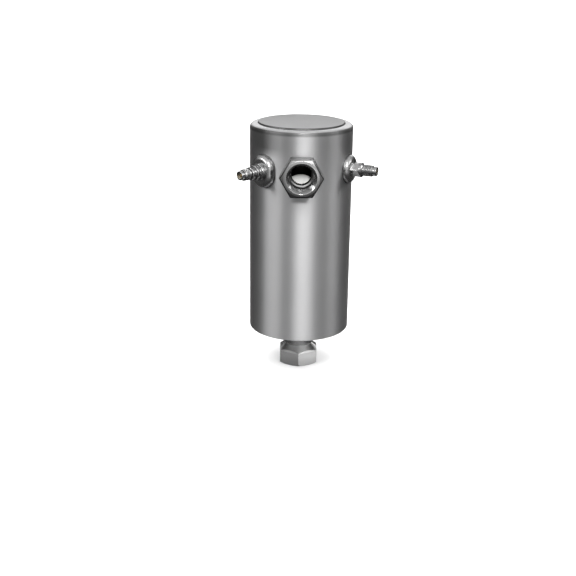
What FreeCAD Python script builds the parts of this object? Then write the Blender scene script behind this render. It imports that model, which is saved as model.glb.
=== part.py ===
# Air conditioning accumulator: an upright can with a hexagonal inlet port at the front, a
# hexagonal outlet port under its foot and two valved side ports.
# Millimetres, +Z up, the front looks along -Y. The origin is the centre of the outlet's mouth.
import FreeCAD, Part
import math
import os
from types import SimpleNamespace

import Sketcher

# Driving sizes. Diameters end in outer, bore or hex (across flats).
SIZES = {
    # the can, a drawn cup that is open at its foot
    "can_outer": 101.6,
    "can_wall": 2.4,
    "can_height": 210.4,
    "shoulder_round": 6.0,
    "crown_outer": 84.8,
    "crown_rise": 1.5,
    "crown_round": 1.0,
    "foot_round": 1.2,
    # the pressed head inside the can's foot and the weld that closes it
    "head_recess": 3.0,
    "head_wall": 2.4,
    "head_skirt": 10.0,
    "head_round": 5.0,
    "weld_throat": 1.4,
    "weld_toe": 1.7,
    # clearance between brazed, screwed or seated pieces
    "seat_gap": 0.05,
    # female port, the same at inlet and outlet
    "port_thread_bore": 25.2,
    "port_thread_depth": 13.0,
    "port_mouth_bore": 29.2,
    # inlet fitting
    "port_below_top": 40.9,
    "inlet_reach": 19.1,
    "inlet_hex": 36.5,
    "inlet_hex_length": 14.2,
    "inlet_land_outer": 31.0,
    "inlet_face_fall": 2.0,
    "inlet_neck_outer": 29.0,
    "inlet_spigot_outer": 26.0,
    "inlet_throat_bore": 19.05,
    "wall_stand_in": 1.6,
    "hex_chamfer": 2.4,
    # outlet fitting
    "outlet_reach": 40.4,
    "outlet_hex": 38.1,
    "outlet_hex_length": 14.2,
    "outlet_cone_length": 6.3,
    "outlet_neck_outer": 28.0,
    "outlet_stand_in": 4.2,
    # standpipe
    "pipe_outer": 19.05,
    "pipe_wall": 1.2,
    "pipe_socket_depth": 20.0,
    "bleed_bore": 1.2,
    "bleed_height": 8.0,
    # deflector cap on the standpipe
    "dome_outer": 36.0,
    "dome_wall": 1.6,
    "dome_below_inlet": 11.3,
    "dome_skirt": 12.0,
    "dome_room": 12.6,
    "dome_gate": 1.0,
    "rib_thickness": 1.6,
    "rib_seat": 1.0,
    # oil bleed filter
    "filter_outer": 26.0,
    "filter_length": 18.0,
    "filter_ring": 3.5,
    "filter_rib": 1.6,
    "filter_bar": 3.2,
    "screen_wall": 0.5,
    # drying agent bag, its collar and its tie
    "bag_to_can": 4.0,
    "bag_above_filter": 7.0,
    "bag_height": 62.0,
    "bag_round": 13.0,
    "bag_to_pipe": 0.3,
    "collar_wall": 2.4,
    "collar_height": 14.0,
    "tie_wall": 1.2,
    "tie_width": 4.8,
    "tie_gap": 0.1,
    "tie_block": 5.5,
    # bosses and side ports
    "switch_turn": -45.0,
    "service_turn": 66.0,
    "switch_boss_height": 31.6,
    "switch_boss_width": 26.4,
    "switch_boss_rise": 5.5,
    "service_boss_height": 27.2,
    "service_boss_width": 25.4,
    "service_boss_rise": 5.0,
    "boss_straight": 0.4,
    "boss_round": 4.6,
    "shank_outer": 13.6,
    # male thread and nose of both adapters
    "thread_outer": 11.11,
    "thread_chamfer": 0.7,
    "relief_outer": 7.8,
    "relief_width": 1.2,
    "nose_outer": 9.1,
    "nose_length": 4.0,
    "nose_round": 0.6,
    # switch adapter
    "collar_outer": 16.2,
    "collar_step": 1.7,
    "collar_width": 3.2,
    "collar_round": 0.7,
    "groove_width": 2.2,
    "groove_depth": 1.3,
    "switch_thread_length": 8.2,
    # service adapter
    "service_hex": 12.7,
    "service_hex_length": 7.0,
    "bead_outer": 14.2,
    "bead_width": 2.0,
    "bead_cone": 1.5,
    "bead_round": 0.5,
    "service_thread_length": 9.7,
    # bore of both adapters
    "mouth_bore": 6.0,
    "mouth_depth": 2.2,
    "core_seat_depth": 8.5,
    "lower_bore": 4.4,
    # valve core
    "core_outer": 5.2,
    "core_sink": 2.0,
    "core_thread_length": 5.2,
    "core_neck_outer": 3.6,
    "core_neck_width": 0.6,
    "core_flange_outer": 4.6,
    "core_flange_width": 0.4,
    "core_barrel_outer": 3.4,
    "core_length": 10.5,
    "core_flats": 4.2,
    "core_flat_depth": 1.8,
    "cavity_bore": 2.8,
    "cavity_depth": 6.5,
    "gasket_length": 1.5,
    # valve pin, its seal and its spring
    "pin_outer": 1.0,
    "pin_gap": 0.06,
    "pin_sink": 0.8,
    "button_outer": 1.3,
    "button_length": 1.1,
    "button_round": 0.16,
    "pin_head_outer": 2.5,
    "pin_head_length": 0.7,
    "seal_outer": 2.7,
    "seal_length": 0.9,
    "cup_wall": 0.25,
    "cup_floor": 0.7,
    "wire_outer": 0.32,
    "coil_mean": 1.9,
    "coil_pitch": 0.98,
}

doc = FreeCAD.newDocument("accumulator")
sheet = doc.addObject("Spreadsheet::Sheet", "Sizes")


class Size:
    """A number in millimetres with the spreadsheet formula that gives it."""

    def __init__(self, value, formula=None):
        self.value = float(value)
        self.formula = formula or f"({float(value)})"

    def __add__(self, other):
        other = as_size(other)
        return Size(self.value + other.value, f"({self.formula} + {other.formula})")

    def __sub__(self, other):
        other = as_size(other)
        return Size(self.value - other.value, f"({self.formula} - {other.formula})")

    def __mul__(self, other):
        other = as_size(other)
        return Size(self.value * other.value, f"({self.formula} * {other.formula})")

    def __truediv__(self, other):
        other = as_size(other)
        return Size(self.value / other.value, f"({self.formula} / {other.formula})")

    def __neg__(self):
        return as_size(0) - self


def as_size(thing):
    return thing if isinstance(thing, Size) else Size(thing)


def root(size):
    return Size(math.sqrt(size.value), f"sqrt({size.formula})")


for row, (alias, number) in enumerate(SIZES.items(), start=1):
    sheet.set(f"A{row}", alias)
    sheet.set(f"B{row}", str(number))
    sheet.setAlias(f"B{row}", alias)
doc.recompute()

S = SimpleNamespace(**{alias: Size(number, f"Sizes.{alias}") for alias, number in SIZES.items()})

# Radii and heights that several pieces share.
can_radius = S.can_outer / 2
can_inner = can_radius - S.can_wall
foot_z = S.outlet_reach
head_z = foot_z + S.head_recess
port_z = foot_z + S.can_height - S.port_below_top
neck_top = head_z + S.head_wall + S.outlet_stand_in
pipe_radius = S.pipe_outer / 2
pipe_inner = pipe_radius - S.pipe_wall
pipe_foot = neck_top - S.pipe_socket_depth
dome_top = port_z - S.dome_below_inlet
dome_foot = dome_top - S.dome_outer / 2 - S.dome_skirt
pipe_top = dome_top - S.dome_room
filter_top = neck_top + S.filter_length
bag_foot = filter_top + S.bag_above_filter
bag_inner = pipe_radius + S.bag_to_pipe
collar_radius = bag_inner + S.collar_wall
collar_foot = bag_foot + S.bag_height
# How far inside the can the pieces that pass its side wall reach, from the can's axis.
stand_in = can_inner - S.wall_stand_in

# How far a cutting outline reaches past the blank that it cuts.
CUT_ROOM = 1

nodes = []


def bind(thing, **sizes):
    """Set properties of a feature and tie them to the sheet."""
    for name, size in sizes.items():
        size = as_size(size)
        setattr(thing, name, size.value)
        thing.setExpression(name, size.formula)


def new_body(name):
    return doc.addObject("PartDesign::Body", name)


def sketch_on(body, role, name, height=None):
    """A sketch on one of the body's origin planes, raised along the plane's normal by height."""
    sketch = body.newObject("Sketcher::SketchObject", f"{body.Name}_{name}")
    plane = next(feature for feature in body.Origin.OriginFeatures if feature.Role == role)
    sketch.AttachmentSupport = (plane, [""])
    sketch.MapMode = "FlatFace"
    if height is not None:
        sketch.AttachmentOffset = FreeCAD.Placement(FreeCAD.Vector(0, 0, height.value), FreeCAD.Rotation())
        sketch.setExpression("AttachmentOffset.Base.z", height.formula)
    return sketch


def tie(sketch, kind, size, *where):
    """Add a dimension to a sketch and tie it to the sheet."""
    number = sketch.addConstraint(Sketcher.Constraint(kind, *where, size.value))
    sketch.setExpression(f"Constraints[{number}]", size.formula)


def place_point(sketch, line, end, x, y):
    """Fix the end of a line at x, y, on the axes where x or y is 0."""
    for size, kind, axis in ((x, "DistanceX", -2), (y, "DistanceY", -1)):
        if size.formula == "(0.0)":
            sketch.addConstraint(Sketcher.Constraint("PointOnObject", line, end, axis))
        else:
            tie(sketch, kind, size, -1, 1, line, end)


def draw(sketch, corners):
    """Draw a closed outline. A corner is x, y or x, y, radius of the arc that rounds it."""
    count = len(corners)
    points = [FreeCAD.Vector(as_size(c[0]).value, as_size(c[1]).value, 0) for c in corners]
    starts, ends, arcs = [], [], {}
    for i, corner in enumerate(corners):
        if len(corner) == 2:
            starts.append(points[i])
            ends.append(points[i])
            continue
        radius = as_size(corner[2]).value
        before = (points[i] - points[i - 1]).normalize()
        after = (points[(i + 1) % count] - points[i]).normalize()
        bend = math.atan2(before.cross(after).z, before.dot(after))
        reach = radius * math.tan(abs(bend) / 2)
        side = FreeCAD.Vector(-before.y, before.x, 0) * math.copysign(radius, bend)
        starts.append(points[i] - before * reach)
        ends.append(points[i] + after * reach)
        arcs[i] = (starts[i] + side, radius, bend)
    lines = [
        sketch.addGeometry(Part.LineSegment(ends[i], starts[(i + 1) % count])) for i in range(count)
    ]
    for i, corner in enumerate(corners):
        x, y = as_size(corner[0]), as_size(corner[1])
        before, after = lines[i - 1], lines[i]
        if i not in arcs:
            sketch.addConstraint(Sketcher.Constraint("Coincident", before, 2, after, 1))
            place_point(sketch, after, 1, x, y)
            continue
        centre, radius, bend = arcs[i]
        first, last = (starts[i], ends[i]) if bend > 0 else (ends[i], starts[i])
        first_angle = math.atan2(first.y - centre.y, first.x - centre.x)
        last_angle = math.atan2(last.y - centre.y, last.x - centre.x)
        if last_angle < first_angle:
            last_angle += 2 * math.pi
        circle = Part.Circle(centre, FreeCAD.Vector(0, 0, 1), radius)
        arc = sketch.addGeometry(Part.ArcOfCircle(circle, first_angle, last_angle))
        at_before, at_after = (1, 2) if bend > 0 else (2, 1)
        sketch.addConstraint(Sketcher.Constraint("Tangent", before, 2, arc, at_before))
        sketch.addConstraint(Sketcher.Constraint("Tangent", arc, at_after, after, 1))
        tie(sketch, "Radius", as_size(corner[2]), arc)
        point = sketch.addGeometry(Part.Point(points[i]), True)
        place_point(sketch, point, 1, x, y)
        sketch.addConstraint(Sketcher.Constraint("PointOnObject", point, 1, before))
        sketch.addConstraint(Sketcher.Constraint("PointOnObject", point, 1, after))


def draw_circle(sketch, radius, x=0, y=0):
    x, y = as_size(x), as_size(y)
    centre = FreeCAD.Vector(x.value, y.value, 0)
    circle = sketch.addGeometry(Part.Circle(centre, FreeCAD.Vector(0, 0, 1), radius.value))
    tie(sketch, "Radius", radius, circle)
    place_point(sketch, circle, 3, x, y)


def turn(body, corners, name="turned", kind="Revolution", role="XZ_Plane"):
    """Turn an outline about the upright axis of its sketch; kind Groove cuts, Revolution adds."""
    sketch = sketch_on(body, role, f"{name}_outline")
    draw(sketch, corners)
    feature = body.newObject(f"PartDesign::{kind}", f"{body.Name}_{name}")
    feature.Profile = sketch
    feature.ReferenceAxis = (sketch, ["V_Axis"])
    feature.Angle = 360
    return feature


def extrude(body, sketch, length, name, kind="Pocket", middle=False):
    feature = body.newObject(f"PartDesign::{kind}", f"{body.Name}_{name}")
    feature.Profile = sketch
    feature.Midplane = middle
    bind(feature, Length=length)
    return feature


def repeat(body, feature, count):
    """Copy a feature round the upright axis."""
    doc.recompute()
    pattern = body.newObject("PartDesign::PolarPattern", f"{feature.Name}_pattern")
    pattern.Originals = [feature]
    pattern.Axis = (next(f for f in body.Origin.OriginFeatures if f.Role == "Z_Axis"), [""])
    pattern.Angle = 360
    pattern.Occurrences = count
    body.Tip = pattern
    return pattern


def mill_hex(body, across_flats, top, length, point_on_y=False):
    """Cut six flats on a turned blank, from height top down by length."""
    corner = across_flats / math.sqrt(3)
    flat = across_flats / 2
    points = [(corner, 0), (corner / 2, flat), (-corner / 2, flat)]
    points += [(-corner, 0), (-corner / 2, -flat), (corner / 2, -flat)]
    if point_on_y:
        points = [(-y if isinstance(y, Size) else y, x) for x, y in points]
    sketch = sketch_on(body, "XY_Plane", "hex", top)
    draw(sketch, points)
    draw_circle(sketch, corner + CUT_ROOM)
    return extrude(body, sketch, length, "flats")


def keep(thing, label, turn_about_can=None):
    """Register a finished piece. A port's piece is built along +Z and then laid onto its port."""
    thing.Label = label
    if turn_about_can is not None:
        thing.Placement = FreeCAD.Placement(
            FreeCAD.Vector(0, 0, port_z.value), FreeCAD.Rotation(turn_about_can.value, 0, 90)
        )
        thing.setExpression(
            "Placement",
            f"placement(vector(0; 0; {port_z.formula}); rotation({turn_about_can.formula}; 0; 90))",
        )
    nodes.append(thing)


def saddle(body, width):
    """Cut a port's piece to the can's side, with the can lying along Y in the port's frame."""
    rim = can_radius + S.seat_gap
    turn(body, [(0, -width), (rim, -width), (rim, width), (0, width)], "saddle", "Groove", "XY_Plane")


def female_port(throat, face, end, up):
    """Outline of a threaded port's hollow. It runs from face to end, towards +Z if up is 1."""
    mouth = S.port_mouth_bore / 2
    thread = S.port_thread_bore / 2
    sink = mouth - thread
    seat = thread - throat
    depth = sink + S.port_thread_depth
    return [
        (0, face),
        (mouth, face),
        (thread, face + sink * up),
        (thread, face + depth * up),
        (throat, face + (depth + seat) * up),
        (throat, end),
        (0, end),
    ]


def make_shell():
    """Drawn cup: straight side, rounded shoulder, narrow ledge and a raised crown."""
    ledge_z = foot_z + S.can_height
    top_z = ledge_z + S.crown_rise
    crown = S.crown_outer / 2
    cup = new_body("shell_cup")
    turn(
        cup,
        [
            (can_inner, foot_z),
            (can_radius, foot_z, S.foot_round),
            (can_radius, ledge_z, S.shoulder_round),
            (crown, ledge_z),
            (crown, top_z, S.crown_round),
            (0, top_z),
            (0, top_z - S.can_wall),
            (crown - S.can_wall, top_z - S.can_wall),
            (crown - S.can_wall, ledge_z - S.can_wall),
            (can_inner, ledge_z - S.can_wall, S.shoulder_round - S.can_wall),
        ],
    )
    holes = []
    for name, diameter, angle in (
        ("inlet", S.inlet_spigot_outer, as_size(0)),
        ("switch", S.shank_outer, S.switch_turn),
        ("service", S.shank_outer, S.service_turn),
    ):
        hole = doc.addObject("Part::Cylinder", f"{name}_hole")
        bind(hole, Radius=diameter / 2 + S.seat_gap, Height=S.can_outer)
        hole.setExpression(
            "Placement", f"placement(vector(0; 0; {port_z.formula}); rotation({angle.formula}; 0; 90))"
        )
        holes.append(hole)
    drill = doc.addObject("Part::MultiFuse", "port_holes")
    drill.Shapes = holes
    shell = doc.addObject("Part::Cut", "shell_drilled")
    shell.Base = cup
    shell.Tool = drill
    keep(shell, "shell")


def make_bottom_head():
    """Pressed head: flat floor, round knuckle and a skirt that fits the can."""
    outer = can_inner - S.seat_gap
    inner = outer - S.head_wall
    hole = S.outlet_neck_outer / 2 + S.seat_gap
    top = head_z + S.head_skirt
    floor = head_z + S.head_wall
    body = new_body("head")
    turn(
        body,
        [
            (hole, head_z),
            (outer, head_z, S.head_round),
            (outer, top),
            (inner, top),
            (inner, floor, S.head_round - S.head_wall),
            (hole, floor),
        ],
    )
    keep(body, "bottom_head")


def make_seam_weld():
    """Weld that fills the groove between the head's knuckle and the can's inside."""
    outer = can_inner - S.seat_gap
    bend = S.head_round + S.seat_gap
    inner = can_inner - bend
    low = head_z - S.weld_throat
    top = head_z + bend
    thin_edge = low + S.weld_throat / 2
    toe = can_inner - S.weld_toe
    body = new_body("weld")
    turn(body, [(inner, thin_edge), (toe, low), (outer, low), (outer, top), (inner, top)])
    knuckle = [
        (inner / 2, head_z - S.seat_gap),
        (can_inner, head_z - S.seat_gap, bend),
        (can_inner, top + bend),
        (inner / 2, top + bend),
    ]
    turn(body, knuckle, "knuckle", "Groove")
    keep(body, "seam_weld")


def make_inlet_fitting():
    """Front port: hexagon with a crowned face, round neck with a saddle, spigot through the wall."""
    face = can_radius + S.inlet_reach
    back = face - S.inlet_hex_length
    corner = S.inlet_hex / math.sqrt(3)
    land = S.inlet_land_outer / 2
    slope = S.hex_chamfer * math.tan(math.radians(30))
    neck = S.inlet_neck_outer / 2
    spigot = S.inlet_spigot_outer / 2
    body = new_body("inlet")
    turn(
        body,
        [
            (0, can_inner / 2),
            (neck, can_inner / 2),
            (neck, back),
            (corner - S.hex_chamfer, back),
            (corner, back + slope),
            (corner, face - S.inlet_face_fall),
            (land, face),
            (0, face),
        ],
        "blank",
    )
    mill_hex(body, S.inlet_hex, face, S.inlet_hex_length)
    saddle(body, S.inlet_neck_outer)
    turn(body, [(0, stand_in), (spigot, stand_in), (spigot, back), (0, back)], "spigot")
    turn(body, female_port(S.inlet_throat_bore / 2, face, stand_in, -1), "bore", "Groove")
    keep(body, "inlet_fitting", as_size(0))


def make_outlet_fitting():
    """Bottom port: hexagon with a corner to the front, cone, neck and a socket for the pipe."""
    corner = S.outlet_hex / math.sqrt(3)
    slope = S.hex_chamfer * math.tan(math.radians(30))
    neck = S.outlet_neck_outer / 2
    cone_top = S.outlet_hex_length + S.outlet_cone_length
    socket = pipe_radius + S.seat_gap
    body = new_body("outlet")
    turn(
        body,
        [
            (0, 0),
            (corner - S.hex_chamfer, 0),
            (corner, slope),
            (corner, S.outlet_hex_length),
            (neck, cone_top),
            (neck, neck_top),
            (0, neck_top),
        ],
        "blank",
    )
    mill_hex(body, S.outlet_hex, cone_top, cone_top, point_on_y=True)
    turn(body, female_port(pipe_inner, as_size(0), neck_top, 1), "bore", "Groove")
    turn(body, [(0, pipe_foot), (socket, pipe_foot), (socket, neck_top), (0, neck_top)], "socket", "Groove")
    keep(body, "outlet_fitting")


def make_boss(port, face, angle):
    """Domed oval boss on the can's side, bored for the adapter's shank."""
    foot = can_inner / 2
    bore = S.shank_outer / 2 + S.seat_gap
    x = getattr(S, f"{port}_boss_width") / 2
    y = getattr(S, f"{port}_boss_height") / 2
    corner = x - S.boss_straight / 2
    body = new_body(port)
    outline = sketch_on(body, "XY_Plane", "outline", foot)
    draw(outline, [(x, -y, corner), (x, y, corner), (-x, y, corner), (-x, -y, corner)])
    block = extrude(body, outline, face - foot, "block", "Pad")
    doc.recompute()
    heights = [side.CenterOfMass.z for side in block.Shape.Faces]
    dome = body.newObject("PartDesign::Fillet", f"{port}_dome")
    dome.Base = (block, [f"Face{heights.index(max(heights)) + 1}"])
    bind(dome, Radius=S.boss_round)
    body.Tip = dome
    turn(body, [(0, foot), (bore, foot), (bore, face), (0, face)], "bore", "Groove")
    saddle(body, y * 2)
    keep(body, f"{port}_boss", angle)


def adapter_end(start, length):
    """Outer corners of a male thread and nose, from start to the tip."""
    thread = S.thread_outer / 2
    relief = S.relief_outer / 2
    end = start + length
    tip = end + S.nose_length
    nose = S.nose_outer / 2
    return [
        (thread, end - S.thread_chamfer),
        (thread - S.thread_chamfer, end),
        (relief, end),
        (relief, end + S.relief_width),
        (nose, end + S.relief_width),
        (nose, tip, S.nose_round),
    ]


def adapter_bore(tip):
    """Inner corners of an adapter, from the tip back to its inner end."""
    thread = S.core_outer / 2 + S.seat_gap
    lower = S.lower_bore / 2
    seat = tip - S.core_seat_depth
    return [
        (S.mouth_bore / 2, tip),
        (S.mouth_bore / 2, tip - S.mouth_depth),
        (thread, tip - S.mouth_depth),
        (thread, seat),
        (lower, seat - (thread - lower)),
        (lower, stand_in),
    ]


def make_switch_adapter(face):
    """Left port: three collars that step down, a thread and a nose. Returns its tip."""
    corners = [(S.shank_outer / 2, stand_in), (S.shank_outer / 2, face)]
    z = face
    for number in range(3):
        radius = (S.collar_outer - S.collar_step * number) / 2
        corners += [(radius, z, S.collar_round), (radius, z + S.collar_width, S.collar_round)]
        z = z + S.collar_width
        if number < 2:
            groove = radius - S.collar_step / 2 - S.groove_depth
            corners += [(groove, z), (groove, z + S.groove_width)]
            z = z + S.groove_width
    relief = S.relief_outer / 2
    corners += [(relief, z), (relief, z + S.relief_width)]
    corners += [(S.thread_outer / 2 - S.thread_chamfer, z + S.relief_width)]
    corners += [(S.thread_outer / 2, z + S.relief_width + S.thread_chamfer)]
    corners += adapter_end(z, S.switch_thread_length)
    tip = z + S.switch_thread_length + S.nose_length
    body = new_body("switch_port")
    turn(body, corners + adapter_bore(tip))
    keep(body, "switch_adapter", S.switch_turn)
    return tip


def make_service_adapter(face):
    """Right port: small hexagon, bead, cone, thread and nose. Returns its tip."""
    corner = S.service_hex / math.sqrt(3)
    hex_end = face + S.service_hex_length
    bead_end = hex_end + S.bead_width
    barrel = bead_end + S.bead_cone
    bead = S.bead_outer / 2
    corners = [
        (S.shank_outer / 2, stand_in),
        (S.shank_outer / 2, face),
        (corner, face),
        (corner, hex_end),
        (bead, hex_end),
        (bead, bead_end, S.bead_round),
        (S.thread_outer / 2 + S.bead_cone, bead_end),
        (S.thread_outer / 2, barrel),
    ]
    corners += adapter_end(barrel, S.service_thread_length)
    tip = barrel + S.service_thread_length + S.nose_length
    body = new_body("service_port")
    turn(body, corners + adapter_bore(tip))
    mill_hex(body, S.service_hex, hex_end, S.service_hex_length)
    keep(body, "service_adapter", S.service_turn)
    return tip


def make_core_body(port, tip, angle):
    """Threaded plug with two flats, a neck, a flange and the barrel that carries the pin."""
    top = tip - S.core_sink
    thread_end = top - S.core_thread_length
    flange = thread_end - S.core_neck_width
    barrel = flange - S.core_flange_width
    end = top - S.core_length
    cavity = S.cavity_bore / 2
    pin_hole = S.pin_outer / 2 + S.pin_gap
    outer = S.core_outer / 2
    body = new_body(f"{port}_core")
    turn(
        body,
        [
            (outer, top),
            (outer, thread_end),
            (S.core_neck_outer / 2, thread_end),
            (S.core_neck_outer / 2, flange),
            (S.core_flange_outer / 2, flange),
            (S.core_flange_outer / 2, barrel),
            (S.core_barrel_outer / 2, barrel),
            (S.core_barrel_outer / 2, end),
            (pin_hole, end),
            (pin_hole, top - S.cavity_depth),
            (cavity, top - S.cavity_depth),
            (cavity, top),
        ],
    )
    sketch = sketch_on(body, "XY_Plane", "flat", top)
    flat = S.core_flats / 2
    past = outer + CUT_ROOM
    draw(sketch, [(flat, -outer), (past, -outer), (past, outer), (flat, outer)])
    repeat(body, extrude(body, sketch, S.core_flat_depth, "flat_cut"), 2)
    keep(body, f"{port}_core_body", angle)


def make_core_gasket(port, tip, angle):
    """Tapered ring on the core's barrel, seated on the adapter's cone."""
    inner = S.core_barrel_outer / 2 + S.seat_gap
    wide = S.core_outer / 2
    narrow = S.lower_bore / 2 - S.seat_gap
    seat = tip - S.core_seat_depth
    top = tip - S.core_sink - S.core_thread_length - S.core_neck_width - S.core_flange_width
    low = top - S.gasket_length
    body = new_body(f"{port}_gasket")
    turn(
        body,
        [
            (inner, top),
            (wide, top),
            (wide, seat),
            (narrow, seat - (wide - narrow)),
            (narrow, low),
            (inner, low),
        ],
    )
    keep(body, f"{port}_core_gasket", angle)


def make_pin(port, tip, angle):
    """Valve pin: button, head over the spring, stem, and the cup that holds the seal."""
    stem = S.pin_outer / 2
    button = S.button_outer / 2
    head = S.pin_head_outer / 2
    top = tip - S.pin_sink
    head_top = top - S.button_length
    head_low = head_top - S.pin_head_length
    core_end = tip - S.core_sink - S.core_length
    seal_top = core_end - S.seat_gap
    cup_floor = seal_top - S.seal_length - S.seat_gap
    seal = S.seal_outer / 2 + S.seat_gap
    cup = seal + S.cup_wall
    body = new_body(f"{port}_pin")
    turn(
        body,
        [
            (0, top),
            (button, top, S.button_round),
            (button, head_top),
            (head, head_top),
            (head, head_low),
            (stem, head_low),
            (stem, cup_floor),
            (seal, cup_floor),
            (seal, cup_floor + S.seal_length / 2),
            (cup, cup_floor + S.seal_length / 2),
            (cup, cup_floor - S.cup_floor),
            (0, cup_floor - S.cup_floor),
        ],
    )
    keep(body, f"{port}_valve_pin", angle)

    rubber = new_body(f"{port}_seal")
    hole = stem + S.seat_gap
    low = seal_top - S.seal_length
    rim = S.seal_outer / 2
    turn(rubber, [(hole, seal_top), (rim, seal_top), (rim, low), (hole, low)])
    keep(rubber, f"{port}_pin_seal", angle)


def make_spring(port, tip, angle):
    """Coil spring between the cavity's floor and the pin's head."""
    floor = tip - S.core_sink - S.cavity_depth
    head_low = tip - S.pin_sink - S.button_length - S.pin_head_length
    low = floor + S.wire_outer / 2 + S.seat_gap
    rise = head_low - S.wire_outer / 2 - S.seat_gap - low
    body = new_body(f"{port}_spring")
    sketch = sketch_on(body, "XZ_Plane", "wire")
    draw_circle(sketch, S.wire_outer / 2, S.coil_mean / 2, low)
    doc.recompute()
    coils = body.newObject("PartDesign::AdditiveHelix", f"{port}_spring_coils")
    coils.Profile = sketch
    coils.ReferenceAxis = (sketch, ["V_Axis"])
    coils.Mode = 0
    bind(coils, Pitch=S.coil_pitch, Height=rise)
    keep(body, f"{port}_core_spring", angle)


def make_side_port(port, make_adapter):
    face = can_radius + getattr(S, f"{port}_boss_rise")
    angle = getattr(S, f"{port}_turn")
    make_boss(port, face, angle)
    tip = make_adapter(face)
    make_core_body(port, tip, angle)
    make_core_gasket(port, tip, angle)
    make_pin(port, tip, angle)
    make_spring(port, tip, angle)


def make_standpipe():
    """Suction tube from the outlet's socket to under the dome, with an oil bleed hole."""
    body = new_body("pipe")
    turn(
        body,
        [(pipe_inner, pipe_foot), (pipe_radius, pipe_foot), (pipe_radius, pipe_top), (pipe_inner, pipe_top)],
    )
    sketch = sketch_on(body, "XZ_Plane", "bleed")
    draw_circle(sketch, S.bleed_bore / 2, 0, neck_top + S.bleed_height)
    extrude(body, sketch, S.pipe_outer, "bleed_hole")
    keep(body, "standpipe")


def make_deflector_cap():
    """Moulded dome over the pipe's mouth, carried on four ribs that sit on the pipe's end."""
    outer = S.dome_outer / 2
    inner = outer - S.dome_wall
    gate = S.dome_gate / 2
    body = new_body("cap")
    turn(
        body,
        [
            (0, dome_top),
            (outer, dome_top, outer - gate),
            (outer, dome_foot),
            (inner, dome_foot),
            (inner, dome_top - S.dome_wall, inner - gate),
            (0, dome_top - S.dome_wall),
        ],
    )
    # Each rib ends inside the dome's wall, on a circle through the middle of that wall.
    middle = outer - S.dome_wall / 2
    centre_z = dome_top - outer
    rib_top = pipe_top + S.rib_thickness
    half_way = (rib_top - centre_z) / 2
    sketch = sketch_on(body, "XZ_Plane", "rib")
    draw(
        sketch,
        [
            (pipe_radius + S.seat_gap, dome_foot + S.dome_wall),
            (middle, dome_foot + S.dome_wall),
            (middle, centre_z),
            (root(middle * middle - half_way * half_way), centre_z + half_way),
            (root(middle * middle - (rib_top - centre_z) * (rib_top - centre_z)), rib_top),
            (pipe_radius - S.rib_seat, rib_top),
            (pipe_radius - S.rib_seat, pipe_top),
            (pipe_radius + S.seat_gap, pipe_top),
        ],
    )
    rib = extrude(body, sketch, S.rib_thickness, "rib_web", "Pad", middle=True)
    repeat(body, rib, 4)
    keep(body, "deflector_cap")


def make_bleed_filter():
    """Moulded cage round the pipe's foot with four windows, and the screen inside it."""
    bore = pipe_radius + S.seat_gap
    outer = S.filter_outer / 2
    cage = outer - S.filter_rib
    low = neck_top + S.filter_ring
    high = filter_top - S.filter_ring
    body = new_body("filter")
    turn(
        body,
        [
            (bore, neck_top),
            (outer, neck_top),
            (outer, filter_top),
            (bore, filter_top),
            (bore, high),
            (cage, high),
            (cage, low),
            (bore, low),
        ],
    )
    half = (outer - S.filter_bar) / math.sqrt(2)
    sketch = sketch_on(body, "XZ_Plane", "window")
    draw(sketch, [(-half, low), (half, low), (half, high), (-half, high)])
    window = extrude(body, sketch, S.filter_outer, "window_cut")
    repeat(body, window, 4)
    keep(body, "filter_frame")

    screen = new_body("screen")
    rim = cage - S.seat_gap
    turn(
        screen,
        [
            (rim - S.screen_wall, low + S.seat_gap),
            (rim, low + S.seat_gap),
            (rim, high - S.seat_gap),
            (rim - S.screen_wall, high - S.seat_gap),
        ],
    )
    keep(screen, "filter_screen")


def make_desiccant_bag():
    """Ring-shaped bag round the pipe, gathered into a collar that a strap ties."""
    outer = can_inner - S.bag_to_can
    top = collar_foot + S.collar_height
    body = new_body("bag")
    turn(
        body,
        [
            (bag_inner, bag_foot),
            (outer, bag_foot, S.bag_round),
            (outer, collar_foot, S.bag_round),
            (collar_radius, collar_foot),
            (collar_radius, top),
            (bag_inner, top),
        ],
    )
    keep(body, "desiccant_bag")

    strap = new_body("tie")
    inner = collar_radius + S.tie_gap
    rim = inner + S.tie_wall
    middle = collar_foot + S.collar_height / 2
    low, high = middle - S.tie_width / 2, middle + S.tie_width / 2
    turn(strap, [(inner, low), (rim, low), (rim, high), (inner, high)], "strap")
    sketch = sketch_on(strap, "XZ_Plane", "block")
    low, high = middle - S.tie_block / 2, middle + S.tie_block / 2
    start = inner + S.tie_wall / 2
    end = inner + S.tie_block
    draw(sketch, [(start, low), (end, low), (end, high), (start, high)])
    extrude(strap, sketch, S.tie_block, "lock_block", "Pad", middle=True)
    keep(strap, "bag_tie")


make_shell()
make_bottom_head()
make_seam_weld()
make_inlet_fitting()
make_outlet_fitting()
make_standpipe()
make_deflector_cap()
make_bleed_filter()
make_desiccant_bag()
make_side_port("switch", make_switch_adapter)
make_side_port("service", make_service_adapter)
doc.recompute()

for thing in doc.Objects:
    if "Invalid" in thing.State or "Error" in thing.State:
        raise RuntimeError(f"{thing.Name} ({thing.Label}) did not build: {thing.State}")
for node in nodes:
    if node.Shape.isNull() or not node.Shape.isValid() or len(node.Shape.Solids) != 1:
        raise RuntimeError(f"{node.Label} is not one valid solid")

os.makedirs("parts", exist_ok=True)
for node in nodes:
    node.Shape.exportStep(f"parts/{node.Label}.step")
    print(f"{node.Label:24s} {node.Shape.Volume:12.2f} mm3")
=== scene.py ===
# Dresses the air conditioning accumulator: turned and milled metal, threads, moulded nylon, felt.
# Shapes are worked out in millimetres in the part's own frame and written to the meshes in metres.
import math

import bpy
from mathutils import Matrix, Vector, noise


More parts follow.
